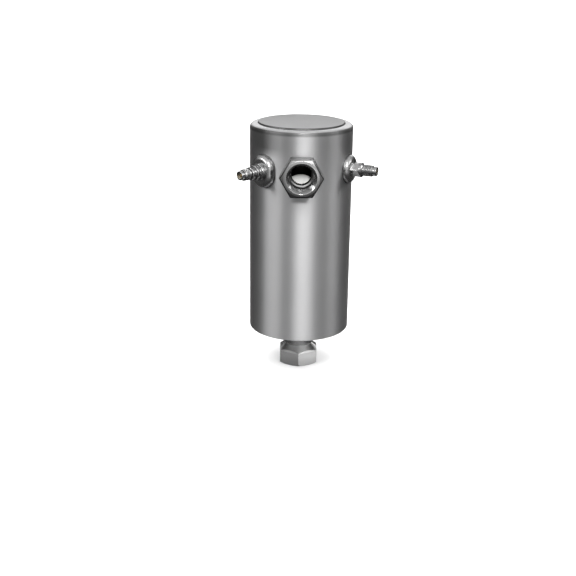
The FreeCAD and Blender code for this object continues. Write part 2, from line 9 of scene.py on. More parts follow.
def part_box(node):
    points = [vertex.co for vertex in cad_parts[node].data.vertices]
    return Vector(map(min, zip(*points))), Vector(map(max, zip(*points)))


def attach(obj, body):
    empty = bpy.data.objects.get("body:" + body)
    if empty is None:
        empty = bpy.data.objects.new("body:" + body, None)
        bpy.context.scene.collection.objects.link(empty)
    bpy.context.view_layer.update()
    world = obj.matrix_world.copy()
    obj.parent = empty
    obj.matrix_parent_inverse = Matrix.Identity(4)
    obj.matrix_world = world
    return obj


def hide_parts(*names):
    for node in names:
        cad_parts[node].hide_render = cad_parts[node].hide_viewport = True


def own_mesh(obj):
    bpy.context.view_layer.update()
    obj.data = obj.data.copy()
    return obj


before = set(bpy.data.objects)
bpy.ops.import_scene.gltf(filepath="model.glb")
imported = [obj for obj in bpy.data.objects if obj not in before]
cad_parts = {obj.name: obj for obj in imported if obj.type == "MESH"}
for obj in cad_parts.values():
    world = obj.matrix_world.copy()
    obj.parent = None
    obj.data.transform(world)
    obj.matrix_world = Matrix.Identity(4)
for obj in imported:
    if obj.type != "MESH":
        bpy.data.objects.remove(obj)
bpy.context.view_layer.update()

MM = 0.001
# Radius of a broken edge, and the gap that keeps brazed or seated pieces from sharing a face.
EDGE = 0.18
GAP = 0.05


def height_of(node):
    """Lowest and highest Z of a node in millimetres."""
    low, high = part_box(node)
    return low.z / MM, high.z / MM


# Places taken from the frame, in millimetres. Ports are measured outwards from the can's axis, and
# all three in its wall end inside it at the distance INNER_END.
FOOT, CROWN = height_of("shell")
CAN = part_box("shell")[1].x / MM
PORT_Z = sum(height_of("inlet_fitting")) / 2
NECK_TOP = height_of("outlet_fitting")[1]
INLET_FACE = -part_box("inlet_fitting")[0].y / MM
INNER_END = -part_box("inlet_fitting")[1].y / MM
SWITCH_TURN = math.radians(-45)
SERVICE_TURN = math.radians(66)

# Sizes of the can in millimetres. PORT_ZONE is half the height of the wall round the port holes.
WALL = 2.4
CAN_INNER = CAN - WALL
SHOULDER = 6.0
FOOT_ROUND = 1.2
CROWN_RADIUS = 42.4
CROWN_RISE = 1.5
PORT_ZONE = 24
HEAD_Z = height_of("bottom_head")[0]

# Front port: half across flats, radius of the flat land round its mouth, radius of its spigot.
INLET_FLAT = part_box("inlet_fitting")[1].z / MM - PORT_Z
INLET_LAND = 17.0
INLET_SPIGOT = 13.0
# Port under the foot: height of the cone above its hexagon.
OUTLET_CONE = 6.3
# Both of these ports: length of the hexagon, width and slope of its chamfers, radii of the mouth
# and of the thread, and the thread's pitch and length.
HEXAGON_LENGTH = 14.2
CHAMFER = 2.4
SLOPE = math.tan(math.radians(30))
MOUTH = 14.6
PORT_MINOR = 12.6
PORT_MAJOR = 13.45
PORT_PITCH = 25.4 / 14
PORT_THREAD = 13.0
# Side ports: radius of the shank in the can's wall, thread, depth of the valve core's seat below
# the tip, and the core's spring.
SHANK = 6.8
STUB_MAJOR = 5.555
STUB_DEPTH = 0.72
STUB_PITCH = 25.4 / 20
THREAD_CHAMFER = 0.7
SEAT_DEPTH = 8.5
SPRING_LENGTH = 5.9
# Outline points in each turn of a thread, before it is cut.
RINGS_PER_PITCH = 14


def pick(piece):
    """Select one piece alone and make it active."""
    bpy.ops.object.select_all(action="DESELECT")
    piece.select_set(True)
    bpy.context.view_layer.objects.active = piece


def edit(piece, *steps):
    """Run edit mode steps on a piece, each with everything selected first."""
    pick(piece)
    bpy.ops.object.mode_set(mode="EDIT")
    for step in steps:
        bpy.ops.mesh.select_all(action="SELECT")
        step()
    bpy.ops.object.mode_set(mode="OBJECT")


def merge_and_face_out():
    """Merge doubled points, delete loose ones and turn all faces outwards."""
    bpy.ops.mesh.remove_doubles(threshold=0.002 * MM)
    bpy.ops.mesh.delete_loose(use_verts=True, use_edges=True, use_faces=False)
    bpy.ops.mesh.select_all(action="SELECT")
    bpy.ops.mesh.normals_make_consistent(inside=False)


def new_piece(name, points, sides=(), faces=()):
    """Mesh object from points in millimetres, with sides or faces between them."""
    mesh = bpy.data.meshes.new(name)
    mesh.from_pydata([[value * MM for value in point] for point in points], sides, faces)
    piece = bpy.data.objects.new(name, mesh)
    bpy.context.scene.collection.objects.link(piece)
    return piece


def outline_of(corners, edge=EDGE):
    """Outline points from corners (r, z) or (r, z, round); plain corners are broken by edge.

    A corner with round 0 stays a point, as inside a thread or on the axis.
    """
    points = []
    count = len(corners)
    for i, corner in enumerate(corners):
        here = Vector(corner[:2])
        before = here - Vector(corners[i - 1][:2])
        after = Vector(corners[(i + 1) % count][:2]) - here
        size = corner[2] if len(corner) > 2 else edge
        turn = before.angle(after) if before.length and after.length else 0
        if here.x == 0 or size == 0 or turn < math.radians(4):
            points.append(here)
            continue
        reach = size * math.tan(turn / 2)
        reach = min(reach, 0.49 * before.length, 0.49 * after.length)
        size = reach / math.tan(turn / 2)
        start = here - before.normalized() * reach
        end = here + after.normalized() * reach
        inwards = (end - start).normalized()
        middle = (start + end) / 2
        side = (middle - here).normalized()
        centre = here + side * (size / math.cos(turn / 2))
        chords = max(2, round(turn / math.radians(15)) + (2 if size > 2 else 0))
        for step in range(chords + 1):
            share = (step / chords - 0.5) * turn
            arm = -side * size * math.cos(share) + inwards * size * math.sin(share)
            points.append(centre + arm)
    return points


def turned(name, corners, steps, closed=True, edge=EDGE):
    """Turn an outline about the Z axis in so many steps. The corners of an open one stay sharp."""
    points = outline_of(corners, edge) if closed else [Vector(corner[:2]) for corner in corners]
    count = len(points)
    sides = [(i, (i + 1) % count) for i in range(count if closed else count - 1)]
    piece = new_piece(name, [(p.x, 0, p.y) for p in points], sides)
    edit(
        piece,
        lambda: bpy.ops.mesh.spin(steps=steps, angle=math.tau, center=(0, 0, 0), axis=(0, 0, 1)),
        merge_and_face_out,
    )
    return piece


def rod(name, radius, low, high, steps, low_edge=0, high_edge=0):
    """Round bar along Z, its ends broken by an edge each where one is given."""
    corners = [(0, low), (radius, low, low_edge), (radius, high, high_edge), (0, high)]
    return turned(name, corners, steps)


def carve(piece, tool, how="DIFFERENCE"):
    """Cut a piece with a tool, or fuse or intersect the two. The tool is used up."""
    pick(piece)
    cut = piece.modifiers.new("carve", "BOOLEAN")
    cut.operation = how
    cut.solver = "EXACT"
    cut.object = tool
    bpy.ops.object.modifier_apply(modifier=cut.name)
    bpy.data.objects.remove(tool)


def bar(name, across, low, high, turn=0.0, corner_break=0.35):
    """Hexagonal bar along Z with a corner on X before its turn, its long edges broken."""
    bpy.ops.object.select_all(action="DESELECT")
    bpy.ops.mesh.primitive_cylinder_add(
        vertices=6,
        radius=across / math.sqrt(3) * MM,
        depth=(high - low) * MM,
        location=(0, 0, (high + low) / 2 * MM),
        rotation=(0, 0, math.pi / 2 + turn),
    )
    piece = bpy.context.object
    piece.name = name
    settle(piece)
    bpy.ops.object.mode_set(mode="EDIT")
    bpy.ops.mesh.select_all(action="DESELECT")
    bpy.ops.object.mode_set(mode="OBJECT")
    bpy.context.tool_settings.mesh_select_mode = (False, True, False)
    for side in piece.data.edges:
        ends = [piece.data.vertices[i].co for i in side.vertices]
        side.select = abs(ends[0].z - ends[1].z) > abs(high - low) * MM / 2
    bpy.ops.object.mode_set(mode="EDIT")
    bpy.ops.mesh.bevel(offset=corner_break * MM, segments=4, affect="EDGES")
    bpy.ops.object.mode_set(mode="OBJECT")
    bpy.context.tool_settings.mesh_select_mode = (True, False, False)
    return piece


def settle(piece, place=None):
    """Write a piece's place into its mesh, so that its object sits at the origin, unturned."""
    if place is not None:
        piece.matrix_world = place
    pick(piece)
    bpy.ops.object.transform_apply(location=True, rotation=True, scale=True)
    return piece


def on_port(turn):
    """Place of a port whose pieces are built along +Z, outwards from the can's axis."""
    up = Matrix.Translation((0, 0, PORT_Z * MM))
    return up @ Matrix.Rotation(turn, 4, "Z") @ Matrix.Rotation(math.pi / 2, 4, "X")


def thread_rings(radius, start, end, pitch):
    """Fine outline points along a wall that is to be threaded, from start to end."""
    count = round(abs(end - start) / pitch * RINGS_PER_PITCH)
    return [(radius, start + (end - start) * i / count, 0) for i in range(1, count)]


def push_out(vertex, shift):
    """Move a point away from the Z axis by a shift in millimetres."""
    x, y, _ = vertex.co / MM
    scale = 1 + shift / math.hypot(x, y)
    vertex.co.x *= scale
    vertex.co.y *= scale


def cut_thread(piece, radius, start, end, pitch, depth):
    """Press a right-hand thread into the fine rings of a wall; a positive depth goes outwards."""
    low, high = min(start, end), max(start, end)
    crest_share, flank_share = 0.22, 0.32
    for vertex in piece.data.vertices:
        x, y, z = vertex.co / MM
        if not low < z < high or abs(math.hypot(x, y) - radius) > 0.01:
            continue
        phase = (z / pitch - math.atan2(y, x) / math.tau) % 1
        slope = (abs(phase - 0.5) - crest_share / 2) / flank_share
        slope = min(max(slope, 0), 1)
        slope = slope * slope * (3 - 2 * slope) * 0.5 + slope * 0.5
        fade = min(1, (z - low) / pitch, (high - z) / pitch)
        push_out(vertex, depth * slope * fade)


def smooth(piece, degrees):
    """Shade a piece smooth, with creases where its faces meet at more than so many degrees."""
    pick(piece)
    bpy.ops.object.shade_smooth_by_angle(angle=math.radians(degrees))
    return piece


def finish_piece(piece, node, material):
    """Give a piece its material and let it stand for a CAD node, or for none where node is None."""
    piece.data.materials.clear()
    piece.data.materials.append(material)
    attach(piece, "root")
    if node:
        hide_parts(node)


def grey(level):
    return (level, level, level)


class Value:
    """An output socket of a node. Sums, products and powers of it add Math nodes."""

    def __init__(self, nodes, socket):
        self.nodes = nodes
        self.socket = socket

    def __add__(self, other):
        return self.nodes.calculate("ADD", self, other)

    def __radd__(self, other):
        return self.nodes.calculate("ADD", other, self)

    def __sub__(self, other):
        return self.nodes.calculate("SUBTRACT", self, other)

    def __rsub__(self, other):
        return self.nodes.calculate("SUBTRACT", other, self)

    def __mul__(self, other):
        return self.nodes.calculate("MULTIPLY", self, other)

    def __rmul__(self, other):
        return self.nodes.calculate("MULTIPLY", other, self)

    def __pow__(self, other):
        return self.nodes.calculate("POWER", self, other)


class Nodes:
    """The nodes that feed a shader, of a material or of the sky."""

    def __init__(self, tree, shader):
        self.tree = tree
        self.shader = tree.nodes[shader]

    def node(self, kind, inputs=(), out=0, **settings):
        """Add a node: its settings first, then the values or links of its sockets."""
        node = self.tree.nodes.new(kind)
        for name, value in settings.items():
            setattr(node, name, value)
        pairs = inputs.items() if isinstance(inputs, dict) else enumerate(inputs)
        for name, value in pairs:
            if isinstance(value, Value):
                self.tree.links.new(value.socket, node.inputs[name])
            else:
                node.inputs[name].default_value = value
        return Value(self, node.outputs[out])

    def calculate(self, operation, first, second=0.0):
        return self.node("ShaderNodeMath", [first, second], operation=operation)

    def band(self, value, low, high, to_low=0.0, to_high=1.0):
        """Map a value from low..high to to_low..to_high, held at the ends."""
        return self.node("ShaderNodeMapRange", [value, low, high, to_low, to_high])

    def feed(self, name, value):
        self.tree.links.new(value.socket, self.shader.inputs[name])


class Finish(Nodes):
    """A material under construction, on the piece's own coordinates."""

    def __init__(self, name, color, rough, metal=0.0, **constants):
        self.material = bpy.data.materials.new(name)
        self.material.use_nodes = True
        super().__init__(self.material.node_tree, "Principled BSDF")
        self.color = color
        self.bumps = None
        self.shader.inputs["Base Color"].default_value = (*color, 1)
        self.shader.inputs["Roughness"].default_value = rough
        self.shader.inputs["Metallic"].default_value = metal
        for name, value in constants.items():
            self.shader.inputs[name.replace("_", " ")].default_value = value
        self.place = self.node("ShaderNodeTexCoord", out="Object")

    def mapped(self, scale, place=(0, 0, 0), turn=(0, 0, 0)):
        """The piece's coordinates in millimetres from place, turned and stretched by scale."""
        inputs = {"Vector": self.place, "Location": place, "Rotation": turn}
        centred = self.node("ShaderNodeMapping", inputs, vector_type="TEXTURE")
        return self.node("ShaderNodeMapping", {"Vector": centred, "Scale": [s / MM for s in scale]})

    def texture(self, vector, detail, rough):
        """Noise from 0 to 1 at a vector."""
        inputs = {"Vector": vector, "Scale": 1.0, "Detail": detail, "Roughness": rough}
        return self.node("ShaderNodeTexNoise", inputs)

    def grain(self, scale, detail, rough=0.5):
        """Noise whose features repeat scale times in a millimetre along each axis."""
        return self.texture(self.mapped(scale), detail, rough)

    def between(self, value, low, high, rise, fall):
        """Mask that is 1 from low to high and fades to 0 over a rise below and a fall above."""
        return self.band(value, low - rise, low) * self.band(value, high, high + fall, 1.0, 0.0)

    def local(self, place, turn):
        """Coordinates from a place, turned, in millimetres."""
        split = self.node("ShaderNodeSeparateXYZ", [self.mapped((1, 1, 1), place, turn)])
        return [Value(self, output) for output in split.socket.node.outputs]

    def along(self, place, turn):
        """Distance from an axis and height along it, in millimetres."""
        x, y, z = self.local(place, turn)
        return (x * x + y * y) ** 0.5, z

    def from_hexagon(self, place, turn):
        """Distance from the axis to the hexagon through a point, measured to its flats."""
        x, y, _ = self.local(place, turn)
        flat = self.calculate("ABSOLUTE", y)
        for side in (0.5, -0.5):
            slant = self.calculate("ABSOLUTE", x * math.cos(math.radians(30)) + y * side)
            flat = self.calculate("MAXIMUM", flat, slant)
        return flat

    def lathe_marks(self, place, turn, pitch):
        """Fine rings left by turning, about an axis through place."""
        radius, height = self.along(place, turn)
        vector = self.node("ShaderNodeCombineXYZ", [radius * (1 / pitch), height * (1 / pitch), 0.0])
        return self.texture(vector, 3.0, 0.6)

    def tint(self, amount, low, high):
        """Blend two strengths of the base color by amount and feed it."""
        dark = (*[c * low for c in self.color], 1)
        light = (*[c * high for c in self.color], 1)
        self.blend(amount, dark, light)

    def paint_shade(self, mask, level):
        """Cover the tinted color with a grey where mask is 1, to paint shade."""
        self.blend(mask, self.mix, (*grey(level), 1))

    def blend(self, amount, first, second):
        """Feed the base color with a mix of two colors. Sockets 6 and 7 are the mix node's colors."""
        inputs = {"Factor": amount, 6: first, 7: second}
        self.mix = self.node("ShaderNodeMix", inputs, out=2, data_type="RGBA")
        self.feed("Base Color", self.mix)

    def bump(self, value, depth):
        """Add relief of a depth in millimetres."""
        inputs = {"Height": value, "Distance": depth * MM, "Strength": 1.0}
        if self.bumps is not None:
            inputs["Normal"] = self.bumps
        self.bumps = self.node("ShaderNodeBump", inputs)
        self.feed("Normal", self.bumps)


# Where the part's own axis starts and how it is turned, for a material.
UPRIGHT = ((0, 0, 0), (0, 0, 0))


def port_axis(turn):
    """Where a port's axis starts and how it is turned, for a material."""
    return (0, 0, PORT_Z * MM), (math.pi / 2, 0, turn)


def can_finish():
    """Drawn aluminium, rubbed round the can to a satin, painted darker towards the top and darkest on the
    shoulder's bend as painted shade.

    It is painted darker above the switch port, a painted shade. Its inside is painted dark, a painted
    shade.
    """
    color = (0.62, 0.62, 0.625)
    made = Finish("satin_aluminium", color, 0.5, 1.0, Anisotropic=0.9, Anisotropic_Rotation=0.25)
    rubbed = made.grain((0.05, 0.05, 7.0), 4.0, 0.6)
    cloudy = made.grain((0.04, 0.04, 0.025), 3.0)
    marks = made.grain((0.6, 0.6, 0.12), 3.0, 0.65)
    reach, height = made.along(*UPRIGHT)
    # Painted shade: the colour is lighter low down and darker towards the top.
    painted_light_low_down = made.band(height, PORT_Z - 20, CROWN - 16, 1.0, 0.0)
    made.feed("Roughness", made.band(rubbed * 0.55 + cloudy * 0.45, 0.3, 0.7, 0.46, 0.54))
    made.tint(cloudy * 0.22 + marks * 0.14 + painted_light_low_down * 0.64, 0.76, 1.05)
    # Painted shade: a darker band on the shoulder's bend.
    bend = made.between(height, CROWN - 5.6, CROWN - 3.4, 1.6, 1.0)
    made.paint_shade(bend * 0.8, 0.2)
    # Painted shade: a darker patch on the can above the switch port.
    across, _, out = made.local(*port_axis(SWITCH_TURN))
    painted_shade_above_switch = made.band(height, PORT_Z + 13, PORT_Z + 23) * made.band(out, 10, 20)
    painted_shade_above_switch = painted_shade_above_switch * made.between(across, -1, 5, 17, 22)
    made.paint_shade(painted_shade_above_switch * (0.5 + cloudy * 0.5), 0.1)
    # Painted shade: the inside of the can is painted dark.
    inside = made.band(reach, CAN_INNER + 0.3, CAN_INNER + 1, 1.0, 0.0)
    made.paint_shade(inside, 0.1)
    made.bump(rubbed, 0.004)
    return made.material


def crown_finish():
    """The can's end, left as drawn: an even satin with faint rings, a ledge painted lighter round its
    crown as a painted highlight, and painted shade in the corner of its step.
    """
    made = Finish("crown_aluminium", (0.56, 0.56, 0.565), 0.42, 1.0)
    rings = made.lathe_marks(*UPRIGHT, 1.4)
    cloudy = made.grain((0.05, 0.05, 0.05), 4.0, 0.6)
    reach, _ = made.along(*UPRIGHT)
    # Painted highlight: the ledge outside the crown is painted lighter, and the crown darker.
    shoulder = made.band(reach, CROWN_RADIUS - 0.2, CROWN_RADIUS + 0.2)
    made.feed("Roughness", made.band(rings * 0.3 + cloudy * 0.7, 0.3, 0.7, 0.36, 0.5))
    made.tint(cloudy * 0.25 + shoulder * 0.75, 0.55, 1.3)
    # Painted shade in the corner of the crown's step.
    made.paint_shade(made.between(reach, CROWN_RADIUS - 0.2, CROWN_RADIUS + 0.5, 0.4, 0.6), 0.1)
    made.bump(rings, 0.003)
    return made.material


def turned_finish(name, color, rough, axis, pitch=0.22, relief=0.004):
    """Metal turned on a lathe, about the given axis."""
    made = Finish(name, color, rough, 1.0)
    rings = made.lathe_marks(*axis, pitch)
    smear = made.grain((0.25, 0.25, 0.25), 3.0)
    made.feed("Roughness", made.band(rings * 0.5 + smear * 0.5, 0.3, 0.7, rough * 0.75, rough * 1.3))
    made.tint(smear, 0.88, 1.06)
    made.bump(rings, relief)
    return made.material


def inlet_finish():
    """Fitting rougher outside its land, painted darker everywhere but its land and darkest along the
    hexagon's rim as painted shade; its land is painted lighter as a painted highlight.

    The lower half of the port's seat is painted lighter and made less metallic, a painted highlight where
    the light into the port falls.
    """
    made = Finish("inlet_aluminium", grey(0.6), 0.24, 1.0)
    around = port_axis(0)
    rings = made.lathe_marks(*around, 0.22)
    smear = made.grain((0.25, 0.25, 0.25), 3.0)
    reach, _ = made.along(*around)
    outside = made.band(reach, INLET_LAND - 0.1, INLET_LAND + 0.2)
    # Painted highlight: the land round the mouth is painted lighter; the rest is painted darker, a painted
    # shade.
    painted_highlight_land = made.band(reach, MOUTH - 0.5, MOUTH) * (1 - outside)
    # Painted shade: a dark line along the hexagon's rim, outside the land.
    rim = made.between(made.from_hexagon(*around), INLET_FLAT - 1.0, INLET_FLAT - 0.1, 0.3, 0.1)
    made.feed("Roughness", made.band(rings * 0.3 + smear * 0.3 + outside * 0.4, 0.2, 0.8, 0.18, 0.36))
    # Painted highlight: the lower half of the seat, where the light into the port falls, is painted
    # lighter and made less metallic.
    _, _, height = made.local(*UPRIGHT)
    lower = made.band(height, PORT_Z - 9, PORT_Z - 4, 1.0, 0.0)
    seat = made.between(reach, 10.2, 11.0, 0.3, 0.7) * lower
    made.feed("Metallic", 1 - seat * 0.5)
    made.tint(smear * 0.25 + painted_highlight_land * 0.75 + seat * 0.8, 0.4, 0.9)
    made.paint_shade(outside * rim, 0.08)
    made.bump(rings, 0.004)
    return made.material


def outlet_finish():
    """Hexagon left as drawn, with its cone turned and painted lighter, a painted highlight."""
    made = Finish("outlet_aluminium", grey(0.6), 0.2, 1.0)
    rings = made.lathe_marks(*UPRIGHT, 0.22)
    smear = made.grain((0.25, 0.25, 0.25), 3.0)
    reach, height = made.along(*UPRIGHT)
    start, end = HEXAGON_LENGTH + 0.2, HEXAGON_LENGTH + OUTLET_CONE
    # Painted highlight: the cone above the hexagon is painted much lighter.
    cone = made.between(height, start, end, 0.8, 0.3) * made.band(reach, 10.0, 11.0)
    made.feed("Roughness", made.band(rings * 0.5 + smear * 0.5, 0.3, 0.7, 0.15, 0.26))
    made.tint(smear * 0.12 + cone * 0.88, 0.92, 1.58)
    made.bump(rings, 0.004)
    return made.material


def weld_finish(name, color, rough):
    """Metal that has run and set: uneven, with soot or flux burnt on."""
    made = Finish(name, color, rough, 1.0)
    soot = made.grain((0.35, 0.35, 0.35), 4.0)
    made.feed("Roughness", made.band(soot, 0.3, 0.7, rough * 0.7, rough * 1.5))
    made.tint(soot, 0.72, 1.08)
    made.bump(made.grain((2.5, 2.5, 2.5), 3.0), 0.03)
    return made.material


def moulded_finish(name, color, rough, relief=0.01):
    """Moulded plastic with a faint spark-eroded grain."""
    made = Finish(name, color, rough, 0.0, Specular_IOR_Level=0.45)
    fine = made.grain((5, 5, 5), 3.0)
    broad = made.grain((0.12, 0.12, 0.12), 2.0)
    made.feed("Roughness", made.band(fine, 0.3, 0.7, rough * 0.9, rough * 1.15))
    made.tint(broad, 0.94, 1.03)
    made.bump(fine, relief)
    return made.material


def felt_finish():
    """Pressed felt: matted fibres and the beads that show through."""
    made = Finish("bag_felt", (0.8, 0.78, 0.72), 0.9, 0.0, Sheen_Weight=0.25, Sheen_Roughness=0.6)
    fibres = made.grain((3.0, 3.0, 3.0), 6.0, 0.75)
    blotch = made.grain((0.1, 0.1, 0.1), 3.0)
    vector = made.mapped((0.42, 0.42, 0.42))
    beads = made.node("ShaderNodeTexVoronoi", {"Vector": vector, "Scale": 1.0, "Randomness": 0.8})
    made.tint(fibres * 0.6 + blotch * 0.4, 0.8, 1.1)
    made.bump(1 - beads, 0.25)
    made.bump(fibres, 0.12)
    return made.material


def rubber_finish():
    """Moulded rubber, matt and slightly uneven."""
    made = Finish("seal_rubber", (0.03, 0.03, 0.032), 0.55)
    fine = made.grain((6, 6, 6), 4.0)
    made.feed("Roughness", made.band(fine, 0.3, 0.7, 0.45, 0.68))
    made.tint(fine, 0.8, 1.3)
    made.bump(fine, 0.01)
    return made.material


can_metal = can_finish()
crown_metal = crown_finish()
head_metal = turned_finish("pressed_aluminium", grey(0.6), 0.36, UPRIGHT, 0.9, 0.006)
weld_metal = weld_finish("weld_aluminium", grey(0.6), 0.34)
braze_metal = weld_finish("braze_aluminium", grey(0.16), 0.4)
inlet_metal = inlet_finish()
outlet_metal = outlet_finish()
pipe_metal = turned_finish("tube_aluminium", grey(0.68), 0.28, UPRIGHT, 1.6)
switch_metal = turned_finish("switch_plating", grey(0.44), 0.22, port_axis(SWITCH_TURN))
service_metal = turned_finish("service_plating", grey(0.44), 0.22, port_axis(SERVICE_TURN))
spring_metal = turned_finish("spring_steel", grey(0.5), 0.25, UPRIGHT)
screen_metal = turned_finish("screen_steel", grey(0.5), 0.3, UPRIGHT)
nylon = moulded_finish("white_nylon", (0.86, 0.86, 0.84), 0.42)
tie_nylon = moulded_finish("tie_nylon", (0.78, 0.78, 0.76), 0.45)
gasket_plastic = moulded_finish("gasket_plastic", (0.85, 0.85, 0.83), 0.35)
felt = felt_finish()
rubber = rubber_finish()


def make_can():
    """Drawn cup with its rounded shoulder, ledge and raised crown, and the three port holes."""
    ledge = CROWN - CROWN_RISE
    crown_start = ledge - 1.2
    corners = [
        (CAN_INNER, FOOT),
        (CAN, FOOT, FOOT_ROUND),
        (CAN, PORT_Z - PORT_ZONE, 0),
        (CAN, PORT_Z + PORT_ZONE, 0),
        (CAN, ledge, SHOULDER),
        (CROWN_RADIUS + 0.4, ledge, 0.5),
        (CROWN_RADIUS, CROWN, 1.0),
        (0, CROWN),
        (0, CROWN - WALL),
        (CROWN_RADIUS - WALL, CROWN - WALL),
        (CROWN_RADIUS - WALL, ledge - WALL, 0.5),
        (CAN_INNER, ledge - WALL, SHOULDER - WALL),
        (CAN_INNER, PORT_Z + PORT_ZONE, 0),
        (CAN_INNER, PORT_Z - PORT_ZONE, 0),
    ]
    can = turned("can", corners, 256)
    for radius, turn in ((INLET_SPIGOT, 0.0), (SHANK, SWITCH_TURN), (SHANK, SERVICE_TURN)):
        drill = rod("drill", radius + GAP, CAN / 2, CAN + 4, 64)
        carve(can, settle(drill, on_port(turn)))
    smooth(can, 30)
    finish_piece(can, "shell", can_metal)
    can.data.materials.append(crown_metal)
    for side in can.data.polygons:
        if side.center.z > crown_start * MM:
            side.material_index = 1


def port_hollow(throat, face, end, up):
    """The hollow of a threaded port, as a cutting tool from face to end; up is -1 if it runs down."""
    first = face + (MOUTH - PORT_MINOR) * up
    last = first + PORT_THREAD * up
    seat = last + (PORT_MINOR - throat) * up
    corners = [
        (0, face - up),
        (MOUTH + EDGE, face - up, 0),
        (MOUTH + EDGE, face - 0.02 * up, 0),
        (MOUTH + EDGE * 0.3, face + EDGE * 0.3 * up, 0),
        (MOUTH - EDGE, face + EDGE * up, 0),
        (PORT_MINOR, first),
        *thread_rings(PORT_MINOR, first, last, PORT_PITCH),
        (PORT_MINOR, last),
        (throat, seat),
        (throat, end, 0),
        (0, end),
    ]
    tool = turned("hollow", corners, 112)
    cut_thread(tool, PORT_MINOR, first, last, PORT_PITCH, PORT_MAJOR - PORT_MINOR)
    return tool


def make_inlet():
    """Front port: hexagon with a crowned face, round neck seated on the can, spigot, threaded hollow."""
    across, neck, throat = 2 * INLET_FLAT, 14.5, 9.525
    corner = across / math.sqrt(3)
    back = INLET_FACE - HEXAGON_LENGTH
    fall, land_fall = 2.0, 0.35
    lean = (fall - land_fall) / (corner - INLET_LAND)
    hexagon = bar("inlet_port", across, back - 1, INLET_FACE + 1)
    blank = [
        (0, back),
        (corner - CHAMFER, back),
        (corner + 1, back + (CHAMFER + 1) * SLOPE, 0),
        (corner + 1, INLET_FACE - land_fall - (corner + 1 - INLET_LAND) * lean, 0),
        (INLET_LAND, INLET_FACE - land_fall, 0.5),
        (MOUTH + 0.4, INLET_FACE, 0.3),
        (0, INLET_FACE),
    ]
    carve(hexagon, turned("blank", blank, 192), "INTERSECT")
    collar = rod("neck", neck, CAN / 2, back + 1, 112)
    bpy.ops.object.select_all(action="DESELECT")
    bpy.ops.mesh.primitive_cylinder_add(vertices=256, radius=(CAN + GAP) * MM, depth=4 * neck * MM)
    wall = settle(bpy.context.object, Matrix.Rotation(math.pi / 2, 4, "X"))
    carve(collar, wall)
    carve(hexagon, collar, "UNION")
    carve(hexagon, rod("spigot", INLET_SPIGOT, INNER_END, back + 1, 112, EDGE), "UNION")
    carve(hexagon, port_hollow(throat, INLET_FACE, INNER_END - 1, -1))
    settle(smooth(hexagon, 28), on_port(0))
    finish_piece(hexagon, "inlet_fitting", inlet_metal)


def make_outlet():
    """Port under the foot: hexagon with a corner to the front, cone, neck, threaded hollow, socket."""
    across, neck, pipe_bore, socket, socket_depth = 38.1, 14.0, 8.325, 9.575, 20
    corner = across / math.sqrt(3)
    cone_top = HEXAGON_LENGTH + OUTLET_CONE
    rise = OUTLET_CONE / (corner - neck)
    hexagon = bar("outlet_port", across, -1, cone_top + 1, math.pi / 2)
    blank = [
        (0, 0),
        (corner - CHAMFER, 0),
        (corner + 1, (CHAMFER + 1) * SLOPE, 0),
        (corner + 1, HEXAGON_LENGTH - rise, 0),
        (neck - 1, cone_top + rise, 0),
        (0, cone_top + rise),
    ]
    carve(hexagon, turned("blank", blank, 192), "INTERSECT")
    carve(hexagon, rod("neck", neck, HEXAGON_LENGTH + 2, NECK_TOP, 128, 0, EDGE), "UNION")
    carve(hexagon, port_hollow(pipe_bore, 0, NECK_TOP + 1, 1))
    carve(hexagon, rod("socket", socket, NECK_TOP - socket_depth, NECK_TOP + 1, 96, EDGE))
    finish_piece(smooth(hexagon, 28), "outlet_fitting", outlet_metal)


def stub_end(start, length):
    """Outer corners of a male thread and nose, and the bore's corners back to the inner end."""
    relief, nose, mouth, bore, lower_bore = 3.9, 4.55, 3.0, 2.65, 2.2
    end = start + length
    tip = end + 4.0
    first, last = start + THREAD_CHAMFER, end - THREAD_CHAMFER
    relief_end, mouth_end, seat = end + 1.2, tip - 2.2, tip - SEAT_DEPTH
    corners = [
        (STUB_MAJOR - THREAD_CHAMFER, start, 0.1),
        (STUB_MAJOR, first, 0.1),
        *thread_rings(STUB_MAJOR, first, last, STUB_PITCH),
        (STUB_MAJOR, last, 0.1),
        (STUB_MAJOR - THREAD_CHAMFER, end, 0.1),
        (relief, end, 0.2),
        (relief, relief_end, 0.2),
        (nose, relief_end, 0.15),
        (nose, tip, 0.6),
        (mouth, tip, 0.3),
        (mouth, mouth_end, 0.1),
        (bore, mouth_end, 0.1),
        (bore, seat),
        (lower_bore, seat - (bore - lower_bore)),
        (lower_bore, INNER_END),
    ]
    return corners, tip, (first, last)


def make_switch_stub():
    """Left port: three rounded collars that step down, then thread and nose. It returns its tip."""
    face, width, bulge = CAN + 5.5, 3.2, 0.7
    corners = [(SHANK, INNER_END), (SHANK, face, 0)]
    z = face
    for radius, groove, gap in ((8.1, 5.95, 2.2), (7.25, 5.1, 2.2), (6.4, 3.9, 1.2)):
        corners += [(radius, z, bulge), (radius, z + width, bulge)]
        corners += [(groove, z + width, 0.3), (groove, z + width + gap, 0.3)]
        z += width + gap
    ends, tip, span = stub_end(z, 7.0)
    stub = turned("switch_stub", corners + ends, 96)
    cut_thread(stub, STUB_MAJOR, *span, STUB_PITCH, -STUB_DEPTH)
    settle(smooth(stub, 38), on_port(SWITCH_TURN))
    finish_piece(stub, "switch_adapter", switch_metal)
    return tip


